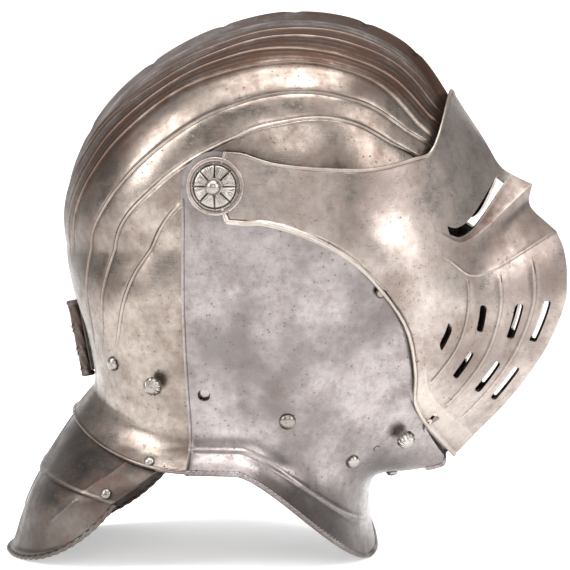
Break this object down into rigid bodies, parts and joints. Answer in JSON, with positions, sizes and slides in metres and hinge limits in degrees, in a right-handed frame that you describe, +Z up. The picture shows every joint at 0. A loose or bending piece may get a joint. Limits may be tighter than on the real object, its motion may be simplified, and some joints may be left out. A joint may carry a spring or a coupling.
{
  "type": "close helmet",
  "caption": "Fluted steel close helmet: combed skull, bevor and one-piece visor turning on shared pivots, hinged nape lames, spring catches and a plume holder.",
  "frame": {"origin": "on the ground under the helmet, at the middle of its bounding box", "axes": "+Z up, +X the way the wearer faces, +Y the wearer's left"},
  "size_m": [0.3326, 0.2332, 0.3203],
  "materials": {
    "skull_plate": "old polished steel, browned towards the comb",
    "bevor_plate": "old polished steel with grey stains",
    "visor_plate": "old polished steel with rust specks",
    "lame_plate": "old steel, darkened",
    "holder": "dark worn steel",
    "fittings": "polished steel",
    "catches": "polished steel"
  },
  "bodies": {
    "skull": {"skull": "skull_plate", "plume_holder": "holder", "skull_catch_rivet": "fittings", "nape_rivet_upper_right": "fittings", "nape_rivet_upper_left": "fittings"},
    "bevor": {"bevor": "bevor_plate", "chin_rivet": "fittings", "cheek_rivet_right": "fittings", "cheek_rivet_left": "fittings", "bevor_catch_rivet": "fittings", "pivot_bolt_right": "fittings", "pivot_bolt_left": "fittings", "pivot_rosette_right": "fittings", "pivot_rosette_left": "fittings"},
    "visor": {"visor": "visor_plate"},
    "nape_lame_upper": {"nape_lame_upper": "lame_plate", "nape_rivet_lower_right": "fittings", "nape_rivet_lower_left": "fittings"},
    "nape_lame_lower": {"nape_lame_lower": "lame_plate"},
    "skull_catch": {"skull_catch": "catches"},
    "bevor_catch": {"bevor_catch": "catches"}
  },
  "joints": [
    {"name": "bevor_turn", "type": "hinge", "parent": "skull", "child": "bevor", "pos_m": [-0.0228, 0, 0.2229], "axis": [0, -1, 0], "range_deg": [0, 50]},
    {"name": "visor_turn", "type": "hinge", "parent": "bevor", "child": "visor", "pos_m": [-0.0228, 0, 0.2229], "axis": [0, -1, 0], "range_deg": [0, 50]},
    {"name": "nape_lame_upper_turn", "type": "hinge", "parent": "skull", "child": "nape_lame_upper", "pos_m": [-0.0655, 0, 0.064], "axis": [0, -1, 0], "range_deg": [0, 4]},
    {"name": "nape_lame_lower_turn", "type": "hinge", "parent": "nape_lame_upper", "child": "nape_lame_lower", "pos_m": [-0.09, 0, 0.0455], "axis": [0, -1, 0], "range_deg": [0, 4]},
    {"name": "skull_catch_press", "type": "hinge", "parent": "skull", "child": "skull_catch", "pos_m": [-0.0891, -0.066, 0.1184], "axis": [0, 0, 1], "range_deg": [0, 3], "stiffness_Nm_per_rad": 12},
    {"name": "bevor_catch_press", "type": "hinge", "parent": "bevor", "child": "bevor_catch", "pos_m": [0.0466, -0.0448, 0.0615], "axis": [-0.2197, -0.6592, 0.7191], "range_deg": [0, 3], "stiffness_Nm_per_rad": 12}
  ]
}
